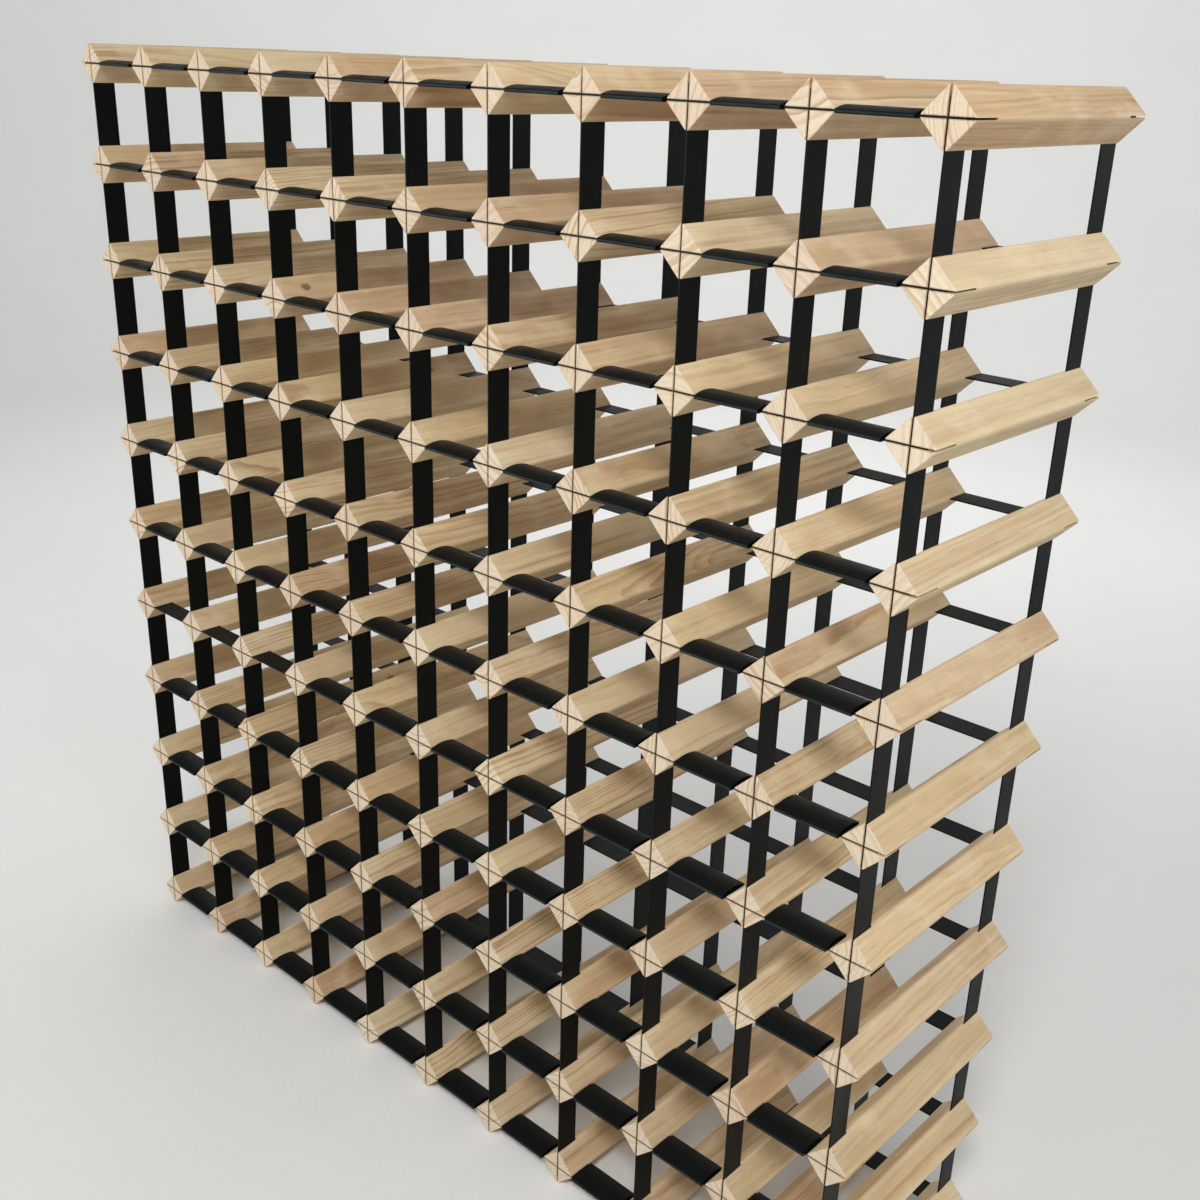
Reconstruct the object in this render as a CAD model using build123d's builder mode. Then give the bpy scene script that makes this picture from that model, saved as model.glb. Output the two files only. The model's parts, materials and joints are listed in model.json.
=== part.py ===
from build123d import *
from math import radians, sin
import os

os.makedirs("parts", exist_ok=True)

# A push-fit wine rack: square pine bars laid as diamonds on a square grid, joined at the
# front and at the rear by flat steel strips that slide into saw kerfs in the bar ends.
# Clip-on bottle rests cover the front crossbars between the bars.
#
# Frame: +X to the right seen from the front, +Y towards the rear, +Z up.
# Origin: the middle of the rack's footprint, on the floor.

# ---- Driving dimensions, mm -------------------------------------------------------------

PITCH = 100.0  # spacing of the bar axes, across and up
COLUMNS = 11  # bars across
ROWS = 11  # bars up

BAR_SIDE = 28.8  # square section, standing on its corner
BAR_LENGTH = 243.0
BAR_EDGE_RADIUS = 3.0  # on the four long edges
BAR_END_CHAMFER = 0.5  # round both end faces

KERF_WIDTH = 1.4
KERF_DEPTH = 26.0

STRIP_WIDTH = 23.5
STRIP_THICKNESS = 1.2
STRIP_RECESS = 0.5  # behind the bars' end faces
STRIP_OVERHANG = 12.0  # past the outermost bar axes
LAP_SLOT_WIDTH = 1.5  # half-lap slots where two strips cross
LAP_SLOT_EXTRA = 0.2  # each slot is this much deeper than half a strip

REST_LENGTH = 57.5
REST_WALL = 1.0
REST_UNDERSIDE = 1.7  # lips' lower face, below the middle of the crossbar
REST_NOSE_RADIUS = 1.6  # where the arch turns under into a lip, front and rear
REST_ARCH_RADIUS = 41.0
REST_ARCH_TURN = 40.0  # degrees, from one nose to the other
REST_LIP = 6.0  # measured from the nose's centre

# Rows count from the top. Here the first few cells from the left have a bare crossbar.
BARE_ROW = 7
BARE_CELLS = 3

# ---- Places worked out from them --------------------------------------------------------

BAR_HALF_DIAGONAL = BAR_SIDE / 2**0.5 - BAR_EDGE_RADIUS * (2**0.5 - 1)
REST_NOSE_OFFSET = (REST_ARCH_RADIUS - REST_NOSE_RADIUS) * sin(radians(REST_ARCH_TURN / 2))
REST_REACH = REST_NOSE_OFFSET + REST_NOSE_RADIUS - STRIP_WIDTH / 2 - STRIP_RECESS
FRONT = -(BAR_LENGTH - REST_REACH) / 2  # the bars' front faces; the rests reach past them
REAR = FRONT + BAR_LENGTH
STRIP_LENGTH = (COLUMNS - 1) * PITCH + 2 * STRIP_OVERHANG
STRIP_HEIGHT = (ROWS - 1) * PITCH + 2 * STRIP_OVERHANG
MID_HEIGHT = BAR_HALF_DIAGONAL + (ROWS - 1) * PITCH / 2

COLUMN_X = [(column - (COLUMNS - 1) / 2) * PITCH for column in range(COLUMNS)]
ROW_Z = [MID_HEIGHT + ((ROWS - 1) / 2 - row) * PITCH for row in range(ROWS)]

FRONT_STRIP_Y = FRONT + STRIP_RECESS + STRIP_WIDTH / 2
REAR_STRIP_Y = REAR - STRIP_RECESS - STRIP_WIDTH / 2
LAP_SLOT_DEPTH = STRIP_WIDTH / 2 + LAP_SLOT_EXTRA
LAP_SLOT_OFFSET = (STRIP_WIDTH - LAP_SLOT_DEPTH) / 2  # slot's middle from the strip's


def save(piece, name):
    """Label a finished piece and write it as one STEP file."""
    piece.part.label = name
    export_step(piece.part, f"parts/{name}.step")


def make_bar_row(z):
    """One level of bars: rounded squares on their corners, cross-kerfed at both ends."""
    with BuildPart() as bars:
        with BuildSketch(Plane.XZ.offset(-REAR)):
            with Locations(*[(x, z) for x in COLUMN_X]):
                RectangleRounded(BAR_SIDE, BAR_SIDE, BAR_EDGE_RADIUS, rotation=45)
        extrude(amount=BAR_LENGTH)
        chamfer(bars.faces().filter_by(Axis.Y).edges(), BAR_END_CHAMFER)
        for kerf_y in (FRONT + KERF_DEPTH / 2, REAR - KERF_DEPTH / 2):
            with Locations((0, kerf_y, z)):
                Box(COLUMNS * PITCH, KERF_DEPTH, KERF_WIDTH, mode=Mode.SUBTRACT)
            with Locations(*[(x, kerf_y, z) for x in COLUMN_X]):
                Box(KERF_WIDTH, KERF_DEPTH, BAR_SIDE * 2, mode=Mode.SUBTRACT)
    return bars


def make_upright(x, y, slot_side):
    """A vertical strip, with a half-lap slot on one edge at each crossbar."""
    with BuildPart() as upright:
        with BuildSketch(Plane.YZ.offset(x - STRIP_THICKNESS / 2)):
            with Locations((y, MID_HEIGHT)):
                Rectangle(STRIP_WIDTH, STRIP_HEIGHT)
            with Locations(*[(y + slot_side * LAP_SLOT_OFFSET, z) for z in ROW_Z]):
                Rectangle(LAP_SLOT_DEPTH, LAP_SLOT_WIDTH, mode=Mode.SUBTRACT)
        extrude(amount=STRIP_THICKNESS)
    return upright


def make_crossbars(levels, y, slot_side):
    """Horizontal strips, one for each level, slotted on one edge at each upright."""
    with BuildPart() as crossbars:
        for z in levels:
            with BuildSketch(Plane.XY.offset(z - STRIP_THICKNESS / 2)):
                with Locations((0, y)):
                    Rectangle(STRIP_LENGTH, STRIP_WIDTH)
                with Locations(*[(x, y + slot_side * LAP_SLOT_OFFSET) for x in COLUMN_X]):
                    Rectangle(LAP_SLOT_WIDTH, LAP_SLOT_DEPTH, mode=Mode.SUBTRACT)
            extrude(amount=STRIP_THICKNESS)
    return crossbars


def make_rests(z, first_cell):
    """Bottle rests of one level: thin arched channels that clip round the crossbar."""
    nose_y = FRONT_STRIP_Y - REST_NOSE_OFFSET
    lip_z = z - REST_UNDERSIDE
    nose_turn = 180 - REST_ARCH_TURN / 2
    bends = [
        (REST_NOSE_RADIUS, nose_turn),
        (REST_ARCH_RADIUS, REST_ARCH_TURN),
        (REST_NOSE_RADIUS, nose_turn),
    ]
    with BuildPart() as rests:
        for x in COLUMN_X[first_cell:-1]:
            with BuildSketch(Plane.YZ.offset(x + (PITCH - REST_LENGTH) / 2)):
                with BuildLine():
                    outline = Line((nose_y + REST_LIP, lip_z), (nose_y, lip_z))
                    for radius, turn in bends:
                        outline = JernArc(outline @ 1, outline % 1, radius, -turn)
                    Line(outline @ 1, (outline @ 1) - (REST_LIP, 0))
                    offset(amount=REST_WALL, side=Side.RIGHT)
                make_face()
            extrude(amount=REST_LENGTH)
    return rests


# ---- Bars, front crossbars and bottle rests, level by level from the top ---------------

for row, z in enumerate(ROW_Z, start=1):
    save(make_bar_row(z), f"bars_row_{row:02d}")
    save(make_crossbars([z], FRONT_STRIP_Y, -1), f"front_crossbar_{row:02d}")
    first_cell = BARE_CELLS if row == BARE_ROW else 0
    save(make_rests(z, first_cell), f"bottle_rests_row_{row:02d}")

# ---- Uprights, from left to right; their slots face the middle of the rack ---------------

for column, x in enumerate(COLUMN_X, start=1):
    save(make_upright(x, FRONT_STRIP_Y, 1), f"front_upright_{column:02d}")
    save(make_upright(x, REAR_STRIP_Y, -1), f"rear_upright_{column:02d}")

# ---- Rear crossbars, one strip for each level --------------------------------------------

save(make_crossbars(ROW_Z, REAR_STRIP_Y, 1), "rear_crossbars")
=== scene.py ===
import json
import math

import bpy
from mathutils import Matrix, Vector


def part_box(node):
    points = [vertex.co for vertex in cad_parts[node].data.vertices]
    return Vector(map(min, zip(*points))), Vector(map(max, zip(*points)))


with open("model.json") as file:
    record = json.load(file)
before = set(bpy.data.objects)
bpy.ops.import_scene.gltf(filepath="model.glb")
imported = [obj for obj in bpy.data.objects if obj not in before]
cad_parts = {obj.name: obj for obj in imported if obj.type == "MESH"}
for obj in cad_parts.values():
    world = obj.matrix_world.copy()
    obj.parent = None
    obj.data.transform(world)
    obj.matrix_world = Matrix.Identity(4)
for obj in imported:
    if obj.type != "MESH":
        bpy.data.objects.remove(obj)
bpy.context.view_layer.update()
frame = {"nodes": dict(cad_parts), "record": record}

# ---- The rack's own measures, in metres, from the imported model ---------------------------

NODES = frame["nodes"]
ROW_COUNT = sum(name.startswith("bars_row_") for name in NODES)
TOP_LOW, TOP_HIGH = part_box("bars_row_01")
SECOND_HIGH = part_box("bars_row_02")[1]
PITCH = TOP_HIGH.z - SECOND_HIGH.z
HALF_DIAGONAL = (TOP_HIGH.z - TOP_LOW.z) / 2
BOTTOM_AXIS_Z = HALF_DIAGONAL
TOP_AXIS_Z = BOTTOM_AXIS_Z + (ROW_COUNT - 1) * PITCH
RIGHT_AXIS_X = TOP_HIGH.x - HALF_DIAGONAL
FRONT_Y = TOP_LOW.y

# ---- Camera and light --------------------------------------------------------------------

CAMERA_BESIDE = 0.4406  # to the right of the right-hand column
CAMERA_BEFORE = 0.7769  # in front of the bars' ends
CAMERA_ABOVE = 0.0278  # above the axes of the top row
CAMERA_HEADING = 41.19  # degrees to the left of straight ahead
CAMERA_TILT = 22.05  # degrees down
CAMERA_ROLL = 2.19
CAMERA_LENS = 41.61  # mm, on a 36 mm sensor
CAMERA_SHIFT = (-0.0204, 0.0138)

STAGE_RADIUS = 3.4  # flat part of the floor
STAGE_BEND = 1.6  # the floor's edge curves up with this radius
STAGE_WALL = 3.4  # and goes on to this height
STAGE_SIDES = 96
STAGE_BEND_STEPS = 16

RACK_MIDDLE = (0.0, 0.0, TOP_AXIS_Z / 2)
STAGE_BEHIND = (-2.4, 3.2, 0.3)  # the stage as the camera sees it past the rack

# Each light: where it stands, what it aims at, its size in metres and its power in watts.
# The key light stands where the shadows on the photographed bars say it did.
LIGHTS = {
    "key": ((RIGHT_AXIS_X + 0.58, FRONT_Y - 1.2, TOP_AXIS_Z + 0.93), RACK_MIDDLE,
            (0.46, 0.46), 25.5),
    "front_fill": ((-1.6, FRONT_Y - 2.2, 1.2), RACK_MIDDLE, (2.0, 1.5), 42.0),
    "overhead": ((0.2, 0.3, 3.0), RACK_MIDDLE, (2.4, 1.6), 5.0),
    "side_fill": ((RIGHT_AXIS_X + 1.4, FRONT_Y - 0.6, 1.4), RACK_MIDDLE, (1.0, 1.2), 9.5),
    "backdrop": ((-1.0, 1.6, 2.6), STAGE_BEHIND, (2.6, 1.6), 60.0),
    "rear_fill": ((1.6, 2.6, 1.9), RACK_MIDDLE, (2.4, 1.6), 13.0),
}
WORLD_COLOUR = (0.97, 0.98, 1.0, 1.0)
WORLD_STRENGTH = 0.10


def srgb(red, green, blue):
    """A linear colour, with alpha, from 0 to 255 screen values."""
    def linear(value):
        value /= 255
        return value / 12.92 if value <= 0.04045 else ((value + 0.055) / 1.055) ** 2.4
    return (linear(red), linear(green), linear(blue), 1.0)


class Graph:
    """A material's node tree, with short ways to add and link nodes."""

    def __init__(self, name):
        self.material = bpy.data.materials.new(name)
        self.material.use_nodes = True
        self.tree = self.material.node_tree
        self.shader = self.tree.nodes["Principled BSDF"]
        coordinates = self.tree.nodes.new("ShaderNodeTexCoord")
        self.place = coordinates.outputs["Object"]
        self.facing = coordinates.outputs["Normal"]

    def feed(self, socket, value):
        """Set a socket to a constant, or link another node's output to it."""
        if isinstance(value, bpy.types.NodeSocket):
            self.tree.links.new(value, socket)
        elif value is not None:
            socket.default_value = value

    def node(self, kind, inputs, output=0, **settings):
        made = self.tree.nodes.new("ShaderNode" + kind)
        for setting, value in settings.items():
            setattr(made, setting, value)
        for key, value in inputs.items():
            self.feed(made.inputs[key], value)
        return made.outputs[output]

    def math(self, operation, a, b=None, c=None, clamp=False):
        return self.node("Math", {0: a, 1: b, 2: c}, operation=operation, use_clamp=clamp)

    def add(self, a, b):
        return self.math("ADD", a, b)

    def subtract(self, a, b):
        return self.math("SUBTRACT", a, b)

    def times(self, a, b):
        return self.math("MULTIPLY", a, b)

    def vector(self, x, y, z):
        return self.node("CombineXYZ", {0: x, 1: y, 2: z})

    def split(self, value):
        made = self.tree.nodes.new("ShaderNodeSeparateXYZ")
        self.feed(made.inputs[0], value)
        return made.outputs[0], made.outputs[1], made.outputs[2]

    def scaled(self, value, factors):
        return self.node("VectorMath", {0: value, 1: factors}, operation="MULTIPLY")

    def smooth(self, value, low, high, start=0.0, end=1.0):
        """start below low, end above high, and a smooth step between them."""
        inputs = {"Value": value, "From Min": low, "From Max": high, "To Min": start, "To Max": end}
        return self.node("MapRange", inputs, interpolation_type="SMOOTHSTEP")

    def noise(self, vector, scale=1.0, detail=2.0, rough=0.5, distortion=0.0):
        inputs = {"Vector": vector, "Scale": scale, "Detail": detail, "Roughness": rough,
                  "Distortion": distortion}
        return self.node("TexNoise", inputs)

    def random(self, vector):
        """Three random numbers from 0 to 1 that stay the same wherever vector does."""
        return self.split(self.node("TexWhiteNoise", {"Vector": vector}, output="Color",
                                    noise_dimensions="3D"))

    def mix(self, factor, a, b, blend="MIX"):
        """Mix two colours."""
        made = self.tree.nodes.new("ShaderNodeMix")
        made.data_type = "RGBA"
        made.blend_type = blend
        self.feed(made.inputs["Factor"], factor)
        self.feed(made.inputs[6], a)
        self.feed(made.inputs[7], b)
        return made.outputs[2]

    def blend(self, factor, a, b):
        """Mix two numbers."""
        return self.add(a, self.times(factor, self.subtract(b, a)))

    def bump(self, height, distance, under=None, strength=1.0):
        inputs = {"Strength": strength, "Distance": distance, "Height": height, "Normal": under}
        return self.node("Bump", inputs)

    def finish(self, colour, roughness, normal):
        self.feed(self.shader.inputs["Base Color"], colour)
        self.feed(self.shader.inputs["Roughness"], roughness)
        self.feed(self.shader.inputs["Normal"], normal)
        return self.material


# ---- Pine ----------------------------------------------------------------------------------

CREAM = srgb(223, 203, 166)
GREIGE = srgb(205, 182, 142)
PINKISH = srgb(202, 171, 138)
HONEY = srgb(219, 194, 150)
HEARTWOOD = srgb(198, 160, 118)
LATE_WOOD = srgb(172, 134, 94)
STAIN = srgb(188, 154, 114)
STREAK = srgb(160, 118, 76)
DARK_STRAND = srgb(182, 144, 100)
PALE_STRAND = srgb(238, 222, 190)
SHIMMER = srgb(238, 220, 186)
RESIN_DUCT = srgb(128, 92, 58)
KNOT_HALO = srgb(186, 144, 98)
KNOT_CORE = srgb(122, 82, 50)
RUBBED_EDGE = srgb(236, 216, 182)
END_GRAIN = srgb(212, 202, 186)
END_LATE_WOOD = srgb(176, 138, 100)
END_PORES = srgb(176, 142, 104)
END_BLOTCH = srgb(198, 170, 134)
END_SPECK = srgb(118, 92, 66)
END_SAW_MARK = srgb(204, 172, 134)
# painted shade round the kerfs on the end faces
KERF_SHADE_COLOUR = srgb(104, 72, 44)

# Lengths in metres.
HEART_NEAR, HEART_FAR = 0.016, 0.110  # from the bar's axis to the heart of its tree
HEART_LEAN = 0.09  # sideways for each metre along
HEART_WANDER = 0.012
GRAIN_WAVER = 0.0036
RING_NARROW, RING_WIDE = 0.0023, 0.0075
KNOT_SMALL, KNOT_LARGE = 0.0024, 0.0042
KNOT_SPREAD = 0.19  # the stretch of the bar that may carry the knot
KNOT_ASIDE, KNOT_UP = 0.0105, 0.0095  # puts it in the middle of an upper face
KNOT_ABOVE = 0.93  # the bars whose random number is above this have one
CUTTER_STEP = 0.0024
PINE_RELIEF = 0.00011

def pine_material():
    """Planed pine: every bar of the grid is sawn from its own place in its own tree."""
    g = Graph("pine")
    x, y, z = g.split(g.place)
    # Which bar this is, and the place within it.
    column = g.math("ROUND", g.times(x, 1 / PITCH))
    row = g.math("ROUND", g.times(g.subtract(z, BOTTOM_AXIS_Z), 1 / PITCH))
    across = g.subtract(x, g.times(column, PITCH))
    up = g.subtract(g.subtract(z, BOTTOM_AXIS_Z), g.times(row, PITCH))
    chance_a, chance_b, chance_c, chance_d = [
        g.random(g.vector(column, row, layer)) for layer in (1.5, 7.5, 13.5, 19.5)]
    shift = g.vector(g.times(chance_a[0], 31.0), g.times(chance_a[1], 17.0),
                     g.times(chance_a[2], 23.0))
    local = g.vector(across, y, up)

    def drawn_out(crosswise, along, detail=2.0, rough=0.5):
        """Noise in the bar's own place, with crosswise and along cycles to the metre."""
        stretched = g.scaled(local, (crosswise, along, crosswise))
        moved = g.node("VectorMath", {0: stretched, 1: shift}, operation="ADD")
        return g.noise(moved, 1.0, detail, rough)

    # The tree's heart: a slightly leaning, slightly wandering line beside the bar.
    angle = g.times(chance_a[0], math.tau)
    reach = g.smooth(chance_a[1], 0.0, 1.0, HEART_NEAR, HEART_FAR)
    heart_x = g.times(reach, g.math("COSINE", angle))
    heart_z = g.times(reach, g.math("SINE", angle))
    lean_x = g.times(g.subtract(chance_b[0], 0.5), HEART_LEAN)
    lean_z = g.times(g.subtract(chance_b[1], 0.5), HEART_LEAN)
    wander = g.times(g.subtract(drawn_out(11.0, 4.5), 0.5), HEART_WANDER)
    from_x = g.add(g.subtract(across, heart_x), g.add(g.times(y, lean_x), wander))
    from_z = g.add(g.subtract(up, heart_z), g.add(g.times(y, lean_z), wander))
    straight = g.math("SQRT", g.add(g.times(from_x, from_x), g.times(from_z, from_z)))
    waver = g.times(g.subtract(drawn_out(28.0, 24.0), 0.5), GRAIN_WAVER)
    radius = g.add(straight, waver)

    # A few bars carry one small knot, on an upper face and not in an edge.
    knot_y = g.times(g.subtract(chance_c[0], 0.5), KNOT_SPREAD)
    knot_side = g.times(g.math("SIGN", g.subtract(chance_c[1], 0.5)), KNOT_ASIDE)
    knot_to = g.vector(g.subtract(across, knot_side), g.times(g.subtract(y, knot_y), 0.7),
                       g.subtract(up, KNOT_UP))
    knot_edge = g.times(g.subtract(drawn_out(260.0, 260.0), 0.5), 0.0034)
    knot_gap = g.add(g.node("VectorMath", {0: knot_to}, output="Value", operation="LENGTH"),
                     knot_edge)
    has_knot = g.math("GREATER_THAN", chance_c[2], KNOT_ABOVE)
    knot_size = g.smooth(chance_b[2], 0.0, 1.0, KNOT_SMALL, KNOT_LARGE)
    knot_core = g.times(has_knot, g.smooth(g.subtract(knot_gap, knot_size), -0.0014, 0.0006,
                                           1.0, 0.0))
    knot_halo = g.times(has_knot, g.smooth(knot_gap, 0.002, 0.011, 1.0, 0.0))

    # Growth rings: pale early wood that darkens into a narrow late-wood line.
    ring_width = g.smooth(chance_b[2], 0.0, 1.0, RING_NARROW, RING_WIDE)
    uneven = g.noise(g.vector(g.times(radius, 130.0), g.times(chance_a[2], 40.0), 0.0), 1.0, 1.0)
    rings = g.add(g.math("DIVIDE", g.add(radius, g.times(knot_halo, 0.0012)), ring_width),
                  g.times(uneven, 1.5))
    part = g.math("FRACT", rings)
    strength = g.random(g.vector(g.math("FLOOR", rings), column, row))[0]
    late = g.times(g.smooth(part, 0.20, 0.86), g.smooth(part, 0.87, 1.0, 1.0, 0.0))
    late = g.times(late, g.smooth(strength, 0.0, 1.0, 0.15, 1.0))

    # Fibres, long soft stains, broad shimmer and short resin ducts, all drawn out along the bar.
    fibre = drawn_out(1500.0, 24.0, 3.0, 0.6)
    strand = drawn_out(210.0, 5.0, 3.0, 0.55)
    stain = drawn_out(48.0, 8.0)
    streak = g.smooth(drawn_out(105.0, 3.2, 3.0, 0.5), 0.56, 0.70)
    shimmer = drawn_out(30.0, 22.0, 3.0, 0.55)
    duct = g.smooth(drawn_out(900.0, 46.0, 1.0), 0.735, 0.80)

    # The bar's own tone: cream, greige, honey or slightly pink, some with darker heartwood.
    tone = g.mix(chance_c[0], CREAM, GREIGE)
    tone = g.mix(g.smooth(chance_c[1], 0.50, 1.0, 0.0, 0.9), tone, PINKISH)
    tone = g.mix(g.smooth(chance_a[2], 0.60, 1.0, 0.0, 0.8), tone, HONEY)
    heart_edge = g.smooth(chance_d[0], 0.55, 1.0, 0.0, 0.055)
    heartwood = g.smooth(g.subtract(radius, g.add(heart_edge, g.times(wander, 0.5))),
                         -0.004, 0.002, 1.0, 0.0)
    tone = g.mix(g.times(heartwood, 0.6), tone, HEARTWOOD)
    contrast = g.smooth(chance_d[1], 0.20, 1.0, 0.34, 0.92)
    side = g.mix(g.times(late, contrast), tone, LATE_WOOD)
    side = g.mix(g.smooth(stain, 0.42, 0.78, 0.0, 0.50), side, STAIN)
    streaked = g.smooth(chance_b[0], 0.40, 1.0, 0.22, 0.62)
    side = g.mix(g.times(streak, streaked), side, STREAK)
    side = g.mix(g.smooth(strand, 0.54, 0.80, 0.0, 0.38), side, DARK_STRAND)
    side = g.mix(g.smooth(strand, 0.22, 0.46, 0.32, 0.0), side, PALE_STRAND)
    side = g.mix(g.smooth(shimmer, 0.28, 0.52, 0.34, 0.0), side, SHIMMER)
    side = g.mix(g.times(duct, 0.55), side, RESIN_DUCT)
    fibre_light = g.smooth(fibre, 0.25, 0.75, 0.91, 1.07)
    side = g.mix(1.0, side, g.vector(fibre_light, fibre_light, fibre_light), "MULTIPLY")
    side = g.mix(g.times(knot_halo, 0.30), side, KNOT_HALO)
    side = g.mix(g.times(knot_core, 0.80), side, KNOT_CORE)

    # End grain: paler and rougher, with pores, fine diagonal saw marks and the same rings.
    end = g.smooth(g.math("ABSOLUTE", g.split(g.facing)[1]), 0.55, 0.75)
    pores = drawn_out(2300.0, 300.0, 2.0, 0.7)
    blotch = drawn_out(330.0, 330.0, 3.0, 0.6)
    saw_angle = g.times(g.subtract(chance_d[2], 0.5), 1.2)
    saw_run = g.add(up, g.times(across, saw_angle))
    saw_side = g.subtract(across, g.times(up, saw_angle))
    saw = g.noise(g.vector(g.times(saw_run, 1300.0), g.times(saw_side, 50.0), row), 1.0, 2.0)
    face = g.mix(0.62, tone, END_GRAIN)
    face = g.mix(g.times(late, g.blend(contrast, 0.40, 0.90)), face, END_LATE_WOOD)
    face = g.mix(g.smooth(pores, 0.54, 0.74, 0.0, 0.45), face, END_PORES)
    face = g.mix(g.smooth(blotch, 0.52, 0.78, 0.0, 0.40), face, END_BLOTCH)
    speck = g.smooth(drawn_out(620.0, 620.0, 2.0, 0.6), 0.70, 0.78, 0.0, 0.55)
    face = g.mix(speck, face, END_SPECK)
    face = g.mix(g.smooth(saw, 0.54, 0.72, 0.0, 0.30), face, END_SAW_MARK)
    colour = g.mix(end, side, face)

    # Painted shade: a dark band with a ragged edge round the kerfs on the end faces, where the
    # strips sit. Long edges a little rubbed.
    to_kerf = g.math("MINIMUM", g.math("ABSOLUTE", across), g.math("ABSOLUTE", up))
    ragged_to_kerf = g.add(to_kerf, g.times(g.subtract(pores, 0.5), 0.0016))
    kerf_shade_mask = g.times(end, g.smooth(ragged_to_kerf, 0.0006, 0.0016, 0.75, 0.0))
    colour = g.mix(kerf_shade_mask, colour, KERF_SHADE_COLOUR)
    along_edge = g.math("MAXIMUM", g.math("ABSOLUTE", across), g.math("ABSOLUTE", up))
    corner = g.smooth(along_edge, HALF_DIAGONAL - 0.0030, HALF_DIAGONAL - 0.0004)
    rubbed = g.times(corner, g.smooth(strand, 0.35, 0.65, 0.1, 0.7))
    colour = g.mix(g.times(rubbed, 0.5), colour, RUBBED_EDGE)

    roughness = g.blend(end, g.blend(late, 0.62, 0.52), 0.85)
    roughness = g.add(roughness, g.times(g.subtract(fibre, 0.5), 0.18))

    # Relief: fibres, raised late wood and cutter ripple on the sides, torn pores at the ends.
    ripple = g.math("SINE", g.times(y, math.tau / CUTTER_STEP))
    side_relief = g.add(fibre, g.times(late, 0.6))
    side_relief = g.add(side_relief, g.times(ripple, 0.10))
    side_relief = g.add(side_relief, g.times(strand, 0.8))
    end_relief = g.add(g.times(pores, 2.2), g.times(saw, 2.0))
    relief = g.blend(end, side_relief, end_relief)
    g.shader.inputs["Specular IOR Level"].default_value = 0.35
    return g.finish(colour, roughness, g.bump(relief, PINE_RELIEF))


# ---- Powder-coated strips ------------------------------------------------------------------

def black_steel_material():
    """Satin black powder coat: fine orange peel, faint scuffs, a little dust."""
    g = Graph("black_steel")
    peel = g.noise(g.place, 750.0, 2.0, 0.55)
    patch = g.noise(g.place, 14.0, 3.0)
    scuff = g.noise(g.scaled(g.place, (90.0, 420.0, 60.0)), 1.0, 3.0, 0.6)
    dust = g.noise(g.place, 160.0, 4.0, 0.7)
    upward = g.smooth(g.split(g.facing)[2], 0.5, 0.95)
    colour = g.mix(patch, srgb(4, 5, 6), srgb(8, 10, 10))
    colour = g.mix(g.smooth(scuff, 0.64, 0.82, 0.0, 0.25), colour, srgb(36, 38, 39))
    dusted = g.times(upward, g.smooth(dust, 0.52, 0.82, 0.01, 0.08))
    colour = g.mix(dusted, colour, srgb(112, 110, 106))
    roughness = g.add(g.smooth(patch, 0.3, 0.7, 0.42, 0.52), g.times(dusted, 0.6))
    g.shader.inputs["Specular IOR Level"].default_value = 0.14
    g.shader.inputs["Specular Tint"].default_value = (0.80, 0.95, 1.0, 1.0)
    return g.finish(colour, roughness, g.bump(peel, 0.00006))


# ---- Extruded bottle rests -----------------------------------------------------------------

def black_plastic_material():
    """Satin extrusion: fine lines along its length, slight cloudiness, and a painted highlight on
    the front-facing nose.
    """
    g = Graph("black_plastic")
    lines = g.noise(g.scaled(g.place, (6.0, 2600.0, 2600.0)), 1.0, 2.0, 0.6)
    grain = g.noise(g.place, 1400.0, 2.0, 0.6)
    cloud = g.noise(g.place, 40.0, 3.0)
    dust = g.noise(g.place, 210.0, 4.0, 0.7)
    facing = g.split(g.facing)
    upward = g.smooth(facing[2], 0.6, 0.98)
    colour = g.mix(cloud, srgb(4, 7, 8), srgb(9, 12, 13))
    # Painted highlight: faces turned to the front are made lighter grey.
    nose_highlight = g.smooth(facing[1], -0.95, -0.45, 1.0, 0.0)
    colour = g.mix(g.times(nose_highlight, g.smooth(cloud, 0.3, 0.7, 0.1, 0.5)), colour, srgb(46, 50, 50))
    dusted = g.times(upward, g.smooth(dust, 0.55, 0.84, 0.01, 0.10))
    colour = g.mix(dusted, colour, srgb(116, 114, 110))
    roughness = g.add(g.smooth(cloud, 0.3, 0.7, 0.40, 0.52), g.times(dusted, 0.5))
    g.shader.inputs["Specular IOR Level"].default_value = 0.18
    g.shader.inputs["Specular Tint"].default_value = (0.72, 0.95, 1.0, 1.0)
    relief = g.add(g.times(lines, 0.7), grain)
    return g.finish(colour, roughness, g.bump(relief, 0.00004))


# ---- Stage, lights and camera --------------------------------------------------------------

def stage_material():
    g = Graph("studio_floor")
    mottle = g.noise(g.place, 3.0, 4.0)
    grain = g.noise(g.place, 260.0, 2.0)
    colour = g.mix(mottle, srgb(232, 232, 230), srgb(238, 238, 236))
    return g.finish(colour, g.smooth(grain, 0.3, 0.7, 0.78, 0.90), g.bump(grain, 0.0002))


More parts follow.
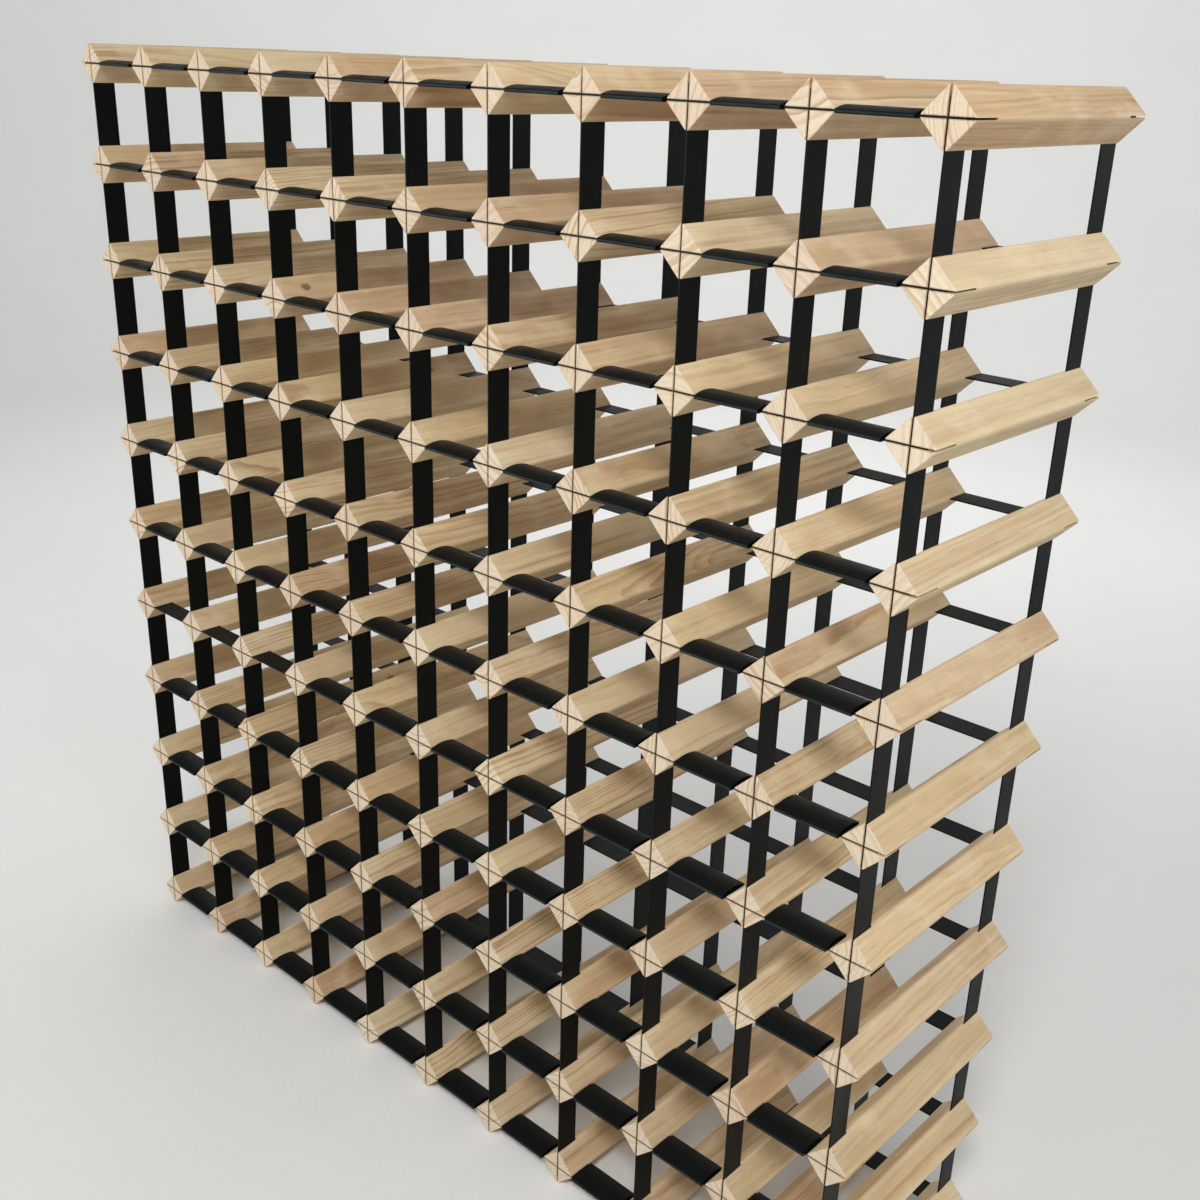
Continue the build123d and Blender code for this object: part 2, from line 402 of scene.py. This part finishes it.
def make_stage():
    """A pale round floor whose edge curves up into a wall."""
    profile = [(0.0, 0.0), (STAGE_RADIUS, 0.0)]
    for step in range(1, STAGE_BEND_STEPS + 1):
        turn = math.pi / 2 * step / STAGE_BEND_STEPS
        profile.append((STAGE_RADIUS + STAGE_BEND * math.sin(turn),
                        STAGE_BEND * (1 - math.cos(turn))))
    profile.append((STAGE_RADIUS + STAGE_BEND, STAGE_WALL))
    vertices = [(0.0, 0.0, 0.0)]
    faces = []
    for ring, (radius, height) in enumerate(profile[1:]):
        for side in range(STAGE_SIDES):
            turn = math.tau * side / STAGE_SIDES
            vertices.append((radius * math.cos(turn), radius * math.sin(turn), height))
            after = (side + 1) % STAGE_SIDES
            outer = 1 + ring * STAGE_SIDES + side
            outer_after = 1 + ring * STAGE_SIDES + after
            if ring == 0:
                faces.append((0, outer, outer_after))
            else:
                inner, inner_after = outer - STAGE_SIDES, outer_after - STAGE_SIDES
                faces.append((inner, outer, outer_after, inner_after))
    mesh = bpy.data.meshes.new("studio_floor")
    mesh.from_pydata(vertices, [], faces)
    mesh.shade_smooth()
    mesh.materials.append(stage_material())
    floor = bpy.data.objects.new("studio_floor", mesh)
    bpy.context.scene.collection.objects.link(floor)


def make_light(name, place, target, size, power):
    light = bpy.data.lights.new(name, "AREA")
    light.shape = "RECTANGLE"
    light.size, light.size_y = size
    light.energy = power
    holder = bpy.data.objects.new(name, light)
    holder.location = place
    aim = Vector(target) - Vector(place)
    holder.rotation_euler = aim.to_track_quat("-Z", "Y").to_euler()
    bpy.context.scene.collection.objects.link(holder)


def make_lights():
    for name, (place, target, size, power) in LIGHTS.items():
        make_light(name, place, target, size, power)
    world = bpy.data.worlds.new("studio")
    world.use_nodes = True
    background = world.node_tree.nodes["Background"]
    background.inputs["Color"].default_value = WORLD_COLOUR
    background.inputs["Strength"].default_value = WORLD_STRENGTH
    bpy.context.scene.world = world


def make_camera():
    lens = bpy.data.cameras.new("camera")
    lens.sensor_width = 36.0
    lens.lens = CAMERA_LENS
    lens.shift_x, lens.shift_y = CAMERA_SHIFT
    camera = bpy.data.objects.new("camera", lens)
    turn = Matrix.Rotation(math.radians(CAMERA_HEADING), 4, "Z")
    tilt = Matrix.Rotation(math.radians(90 - CAMERA_TILT), 4, "X")
    roll = Matrix.Rotation(math.radians(CAMERA_ROLL), 4, "Z")
    place = Vector((RIGHT_AXIS_X + CAMERA_BESIDE, FRONT_Y - CAMERA_BEFORE,
                    TOP_AXIS_Z + CAMERA_ABOVE))
    camera.matrix_world = Matrix.Translation(place) @ turn @ tilt @ roll
    bpy.context.scene.collection.objects.link(camera)
    bpy.context.scene.camera = camera


# ---- Putting it together -------------------------------------------------------------------

def paint_cad_nodes():
    """Give every CAD node the finished material of its slot."""
    finishes = {"pine": pine_material(), "black_steel": black_steel_material(),
                "black_plastic": black_plastic_material()}
    slots = {part["node"]: part["material_slot"] for part in frame["record"]["subparts"]}
    for name, node in NODES.items():
        node.data.materials.clear()
        node.data.materials.append(finishes[slots[name]])


make_camera()
make_lights()
make_stage()
paint_cad_nodes()

bpy.context.scene.view_settings.view_transform = "Standard"
